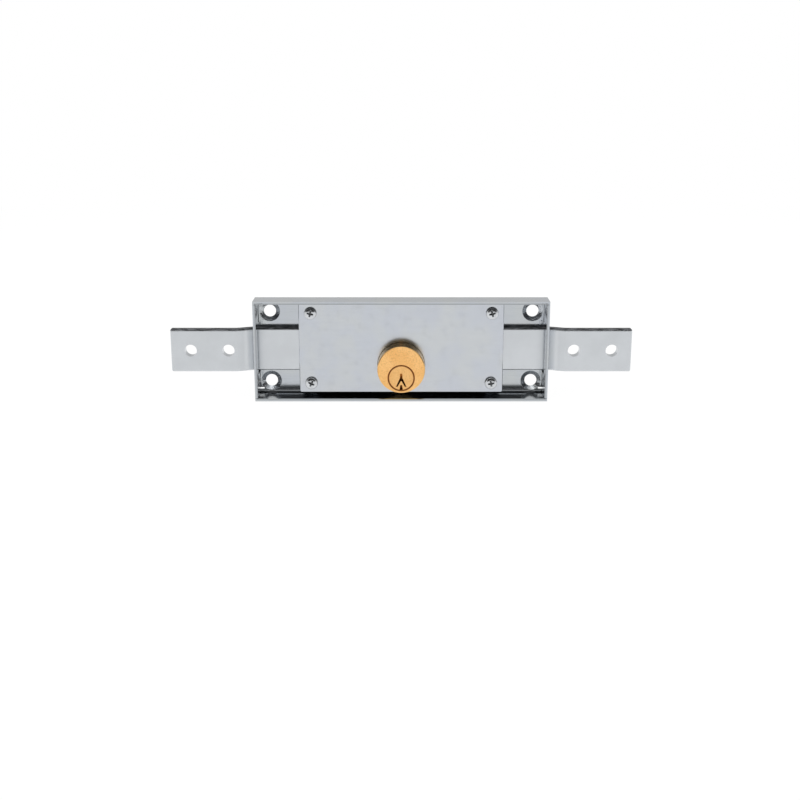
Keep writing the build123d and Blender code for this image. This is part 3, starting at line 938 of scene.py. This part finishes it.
def screw_rows(name, mesh, columns, rows, pitches, centre, facing, seed, material):
    """Set columns and rows of a screw that faces a way."""
    pattern = new_object(f"{name}_pattern", mesh)
    values = {
        "Screw": pattern,
        "Columns": columns,
        "Rows": rows,
        "Column Pitch": pitches[0],
        "Row Pitch": pitches[1],
        "Centre": centre,
        "Facing": facing,
        "Turn": math.pi / 2,
        "Seed": seed,
        "Material": material,
    }
    piece = grown(name, screw_rows_tree(), values)
    bpy.data.objects.remove(pattern)
    return piece


class SHUTTERLOCK_OT_case(bpy.types.Operator):
    """Give the folded case its satin zinc"""

    bl_idname = "shutter_lock.case"
    bl_label = "Case"

    def execute(self, context):
        finish = context.scene.shutter_lock_finish
        dress("case", case_zinc("case_zinc", finish))
        return {"FINISHED"}


class SHUTTERLOCK_OT_cover(bpy.types.Operator):
    """Give the cover plate its smooth zinc"""

    bl_idname = "shutter_lock.cover"
    bl_label = "Cover plate"

    def execute(self, context):
        finish = context.scene.shutter_lock_finish
        dress("cover_plate", cover_zinc("cover_zinc", finish))
        return {"FINISHED"}


class SHUTTERLOCK_OT_bars(bpy.types.Operator):
    """Give the two bars their satin faces and dull edges"""

    bl_idname = "shutter_lock.bars"
    bl_label = "Bars"

    def execute(self, context):
        zinc = bar_zinc("bar_zinc", context.scene.shutter_lock_finish)
        dress("left_bolt", zinc)
        dress("right_bolt", zinc)
        return {"FINISHED"}


class SHUTTERLOCK_OT_cylinder(bpy.types.Operator):
    """Give the cylinder, its plug and the plugs of its chambers their turned brass"""

    bl_idname = "shutter_lock.cylinder"
    bl_label = "Lock cylinder"

    def execute(self, context):
        finish = context.scene.shutter_lock_finish
        low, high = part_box("cylinder_body")
        body_axis = (0.0, high.z - (high.x - low.x) / 2)
        low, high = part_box("cylinder_plug")
        plug_axis = (0.0, middle("cylinder_plug").z)
        groove = (high.z - low.z) / 2
        shell = turned_brass("body_brass", finish, body_axis, groove, plug_axis, 1.03)
        core = turned_brass("plug_brass", finish, plug_axis, groove, plug_axis, 0.95)
        dress("cylinder_body", shell)
        dress("cylinder_plug", core)
        for i in ONE_TO_FOUR:
            dress(f"chamber_plug_{i}", shell)
        return {"FINISHED"}


class SHUTTERLOCK_OT_pins(bpy.types.Operator):
    """Give the pins their brass"""

    bl_idname = "shutter_lock.pins"
    bl_label = "Pins"

    def execute(self, context):
        brass = plain_brass("pin_brass", context.scene.shutter_lock_finish)
        for i in ONE_TO_FOUR:
            dress(f"key_pin_{i}", brass)
            dress(f"driver_pin_{i}", brass)
        return {"FINISHED"}


class SHUTTERLOCK_OT_gears(bpy.types.Operator):
    """Give the two gears and the idler's axle their machined steel"""

    bl_idname = "shutter_lock.gears"
    bl_label = "Gears"

    def execute(self, context):
        finish = context.scene.shutter_lock_finish
        for node in ("drive_pinion", "idler_gear", "idler_axle"):
            centre = middle(node)
            dress(node, machined_steel(f"{node}_steel", finish, (centre.x, centre.z)))
        return {"FINISHED"}


class SHUTTERLOCK_OT_pillars(bpy.types.Operator):
    """Give the pillars and the guide pins their machined steel"""

    bl_idname = "shutter_lock.pillars"
    bl_label = "Pillars and guide pins"

    def execute(self, context):
        finish = context.scene.shutter_lock_finish
        for i in ONE_TO_FOUR:
            for node in (f"cover_pillar_{i}", f"guide_pin_{i}"):
                centre = middle(node)
                dress(node, machined_steel(f"{node}_steel", finish, (centre.x, centre.z)))
        return {"FINISHED"}


class SHUTTERLOCK_OT_springs(bpy.types.Operator):
    """Wind the four springs over the pins"""

    bl_idname = "shutter_lock.springs"
    bl_label = "Pin springs"

    def execute(self, context):
        springs = context.scene.shutter_lock_springs
        finish = context.scene.shutter_lock_finish
        low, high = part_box("pin_spring_1")
        centre = middle("pin_spring_1")
        half_wire = springs.wire / 2
        values = {
            "Count": len(ONE_TO_FOUR),
            "Pitch": middle("pin_spring_2").y - centre.y,
            "First": (0.0, centre.y, low.z + half_wire),
            "Radius": (high.x - low.x) / 2 - half_wire,
            "Height": high.z - low.z - springs.wire,
            "Turns": springs.turns,
            "Wire": springs.wire,
            "Closing": springs.closing,
            "Material": spring_wire("spring_wire", finish),
        }
        piece = grown("pin_springs", spring_row_tree(), values)
        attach(piece, "lock_case")
        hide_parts(*(f"pin_spring_{i}" for i in ONE_TO_FOUR))
        return {"FINISHED"}


class SHUTTERLOCK_OT_cover_screws(bpy.types.Operator):
    """Set the four pan head screws in the cover"""

    bl_idname = "shutter_lock.cover_screws"
    bl_label = "Cover screws"

    def execute(self, context):
        screws = context.scene.shutter_lock_screws
        finish = context.scene.shutter_lock_finish
        low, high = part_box("cover_screws")
        length = high.y - low.y - screws.pan_height
        mesh = recessed_screw(
            "pan_screw",
            pan_profile(screws, length),
            screws.pan_recess,
            screws.recess_width,
            screws.pan_height,
            screws.pan_depth,
        )
        pitches = (
            high.x - low.x - 2 * screws.pan_radius,
            high.z - low.z - 2 * screws.pan_radius,
        )
        centre = (0.0, low.y + screws.pan_height, middle("cover_screws").z)
        piece = screw_rows(
            "cover_pan_screws", mesh, 2, 2, pitches, centre, FACING_FRONT,
            screws.turn_seed, bright_screw("cover_screw_zinc", finish),
        )
        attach(piece, "lock_case")
        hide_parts("cover_screws")
        return {"FINISHED"}


class SHUTTERLOCK_OT_cylinder_screws(bpy.types.Operator):
    """Set the two countersunk screws that hold the cylinder from the back"""

    bl_idname = "shutter_lock.cylinder_screws"
    bl_label = "Cylinder screws"

    def execute(self, context):
        screws = context.scene.shutter_lock_screws
        finish = context.scene.shutter_lock_finish
        low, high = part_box("cylinder_screws")
        mesh = recessed_screw(
            "flat_screw",
            flat_profile(screws.flat_radius, screws.thread_radius, high.y - low.y),
            screws.flat_recess,
            screws.recess_width,
            0.0,
            screws.flat_depth,
        )
        pitches = (high.x - low.x - 2 * screws.flat_radius, 0.0)
        centre = (0.0, high.y, middle("cylinder_screws").z)
        piece = screw_rows(
            "cylinder_flat_screws", mesh, 2, 1, pitches, centre, FACING_BACK,
            screws.turn_seed + 1, bright_screw("cylinder_screw_zinc", finish),
        )
        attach(piece, "lock_case")
        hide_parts("cylinder_screws")
        return {"FINISHED"}


class SHUTTERLOCK_OT_pinion_screw(bpy.types.Operator):
    """Set the screw that holds the pinion on the plug's tail"""

    bl_idname = "shutter_lock.pinion_screw"
    bl_label = "Pinion screw"

    def execute(self, context):
        screws = context.scene.shutter_lock_screws
        finish = context.scene.shutter_lock_finish
        low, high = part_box("pinion_screw")
        mesh = recessed_screw(
            "small_flat_screw",
            flat_profile(screws.pinion_head, screws.pinion_radius, high.y - low.y),
            screws.flat_recess * SMALL_RECESS,
            screws.recess_width * SMALL_RECESS,
            0.0,
            screws.pinion_depth,
        )
        centre = (0.0, high.y, middle("pinion_screw").z)
        piece = screw_rows(
            "pinion_flat_screw", mesh, 1, 1, (0.0, 0.0), centre, FACING_BACK,
            screws.turn_seed + 2, bright_screw("pinion_screw_zinc", finish),
        )
        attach(piece, "key_plug")
        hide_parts("pinion_screw")
        return {"FINISHED"}


class SHUTTERLOCK_OT_stage(bpy.types.Operator):
    """Set the floor, the light and the camera"""

    bl_idname = "shutter_lock.stage"
    bl_label = "Stage"

    def execute(self, context):
        stage = context.scene.shutter_lock_stage
        self.lay_floor(stage)
        self.light_world(context)
        self.hang_lamp(stage)
        self.aim_camera(context, stage)
        context.scene.view_settings.view_transform = "Standard"
        return {"FINISHED"}

    def lay_floor(self, stage):
        """A floor that looks plain white and still takes the lock's shadow."""
        half = stage.floor_width / 2
        level = cad_box[0].z
        mesh = bpy.data.meshes.new("floor")
        corners = [(-half, -half), (half, -half), (half, half), (-half, half)]
        mesh.from_pydata([(x, y, level) for x, y in corners], [], [(0, 1, 2, 3)])
        floor = new_object("floor", mesh)
        material = bpy.data.materials.new("white_floor")
        material.use_nodes = True
        tree = Tree(material.node_tree)
        path = tree.add("ShaderNodeLightPath").outputs
        seen = tree.number(path["Is Camera Ray"])
        seen = seen.larger(tree.number(path["Is Glossy Ray"]))
        seen = seen.larger(tree.number(path["Is Transmission Ray"]))
        paint = tree.add("ShaderNodeBsdfDiffuse", inputs={"Color": (0.9, 0.9, 0.9, 1)})
        catcher = tree.add(
            "ShaderNodeBsdfDiffuse", inputs={"Color": rgba(WHITE[:3], stage.shadow)}
        )
        glow = tree.add(
            "ShaderNodeEmission",
            inputs={"Color": WHITE, "Strength": 1 - stage.shadow * stage.floor_light},
        )
        shaded = tree.add(
            "ShaderNodeAddShader", inputs={0: catcher.outputs[0], 1: glow.outputs[0]}
        )
        white = tree.add("ShaderNodeEmission", inputs={"Color": WHITE, "Strength": 1.0})
        x, y, _ = tree.split(tree.add("ShaderNodeTexCoord").outputs["Object"])
        far = (x * x + y * y).root().rise(stage.fade_start, stage.fade_end)
        bright = tree.add(
            "ShaderNodeMixShader", inputs={0: far, 1: shaded.outputs[0], 2: white.outputs[0]}
        )
        surface = tree.add(
            "ShaderNodeMixShader", inputs={0: seen, 1: paint.outputs[0], 2: bright.outputs[0]}
        )
        tree.add("ShaderNodeOutputMaterial", inputs={"Surface": surface.outputs[0]})
        mesh.materials.append(material)

    def light_world(self, context):
        """A studio that looks white, and gives the metals something dark to mirror."""
        world = bpy.data.worlds.new("studio")
        context.scene.world = world
        world.use_nodes = True
        tree = Tree(world.node_tree)
        direction = tree.add("ShaderNodeTexCoord").outputs["Generated"]
        _, y, z = tree.split(direction)
        behind = y.rise(-0.25, 0.15)
        backdrop = tree.add("ShaderNodeValToRGB", {"stops": BACKDROP_LIGHT}, {"Fac": z})
        room = tree.add("ShaderNodeValToRGB", {"stops": ROOM_LIGHT}, {"Fac": z})
        around = tree.mix(room.outputs[0], backdrop.outputs[0], behind)
        path = tree.add("ShaderNodeLightPath").outputs
        seen = tree.number(path["Is Camera Ray"])
        colour = tree.mix(around, WHITE, seen)
        light = tree.add("ShaderNodeBackground", inputs={"Color": colour, "Strength": 1.0})
        tree.add("ShaderNodeOutputWorld", inputs={"Surface": light.outputs[0]})

    def hang_lamp(self, stage):
        """A soft lamp over the front, turned to the lock."""
        data = bpy.data.lights.new("soft_light", "AREA")
        data.shape = "RECTANGLE"
        data.size, data.size_y = stage.key_size
        data.energy = stage.key_power
        lamp = new_object("soft_light", data)
        lamp.location = stage.key_place
        lamp.rotation_euler = (-lamp.location).to_track_quat("-Z", "Y").to_euler()

    def aim_camera(self, context, stage):
        """A camera at the picture's viewing angle."""
        data = bpy.data.cameras.new("camera")
        data.sensor_width = stage.sensor
        data.lens = stage.lens
        data.shift_x, data.shift_y = stage.shift
        data.clip_start = 0.01
        camera = new_object("camera", data)
        camera.location = stage.camera_place
        look = Vector(stage.camera_target) - camera.location
        camera.rotation_euler = look.to_track_quat("-Z", "Y").to_euler()
        context.scene.camera = camera


OPERATORS = (
    SHUTTERLOCK_OT_case,
    SHUTTERLOCK_OT_cover,
    SHUTTERLOCK_OT_bars,
    SHUTTERLOCK_OT_cylinder,
    SHUTTERLOCK_OT_pins,
    SHUTTERLOCK_OT_gears,
    SHUTTERLOCK_OT_pillars,
    SHUTTERLOCK_OT_springs,
    SHUTTERLOCK_OT_cover_screws,
    SHUTTERLOCK_OT_cylinder_screws,
    SHUTTERLOCK_OT_pinion_screw,
    SHUTTERLOCK_OT_stage,
)

SETTINGS = {
    "shutter_lock_finish": FinishSettings,
    "shutter_lock_screws": ScrewSettings,
    "shutter_lock_springs": SpringSettings,
    "shutter_lock_stage": StageSettings,
}


class SHUTTERLOCK_PT_panel(bpy.types.Panel):
    """Lists the lock's pieces and their settings"""

    bl_idname = "SHUTTERLOCK_PT_panel"
    bl_label = "Shutter Lock"
    bl_space_type = "VIEW_3D"
    bl_region_type = "UI"
    bl_category = "Shutter Lock"

    def draw(self, context):
        for group in SETTINGS:
            box = self.layout.box()
            settings = getattr(context.scene, group)
            for name in settings.bl_rna.properties.keys():
                if name not in ("rna_type", "name"):
                    box.prop(settings, name)
        for operator in OPERATORS:
            self.layout.operator(operator.bl_idname)


CLASSES = (*SETTINGS.values(), *OPERATORS, SHUTTERLOCK_PT_panel)


def register():
    for item in CLASSES:
        bpy.utils.register_class(item)
    for name, group in SETTINGS.items():
        setattr(bpy.types.Scene, name, bpy.props.PointerProperty(type=group))


def unregister():
    for name in SETTINGS:
        delattr(bpy.types.Scene, name)
    for item in reversed(CLASSES):
        bpy.utils.unregister_class(item)


def main():
    register()
    for operator in OPERATORS:
        call = getattr(bpy.ops.shutter_lock, operator.bl_idname.partition(".")[2])
        call()


if __name__ == "__main__":
    main()
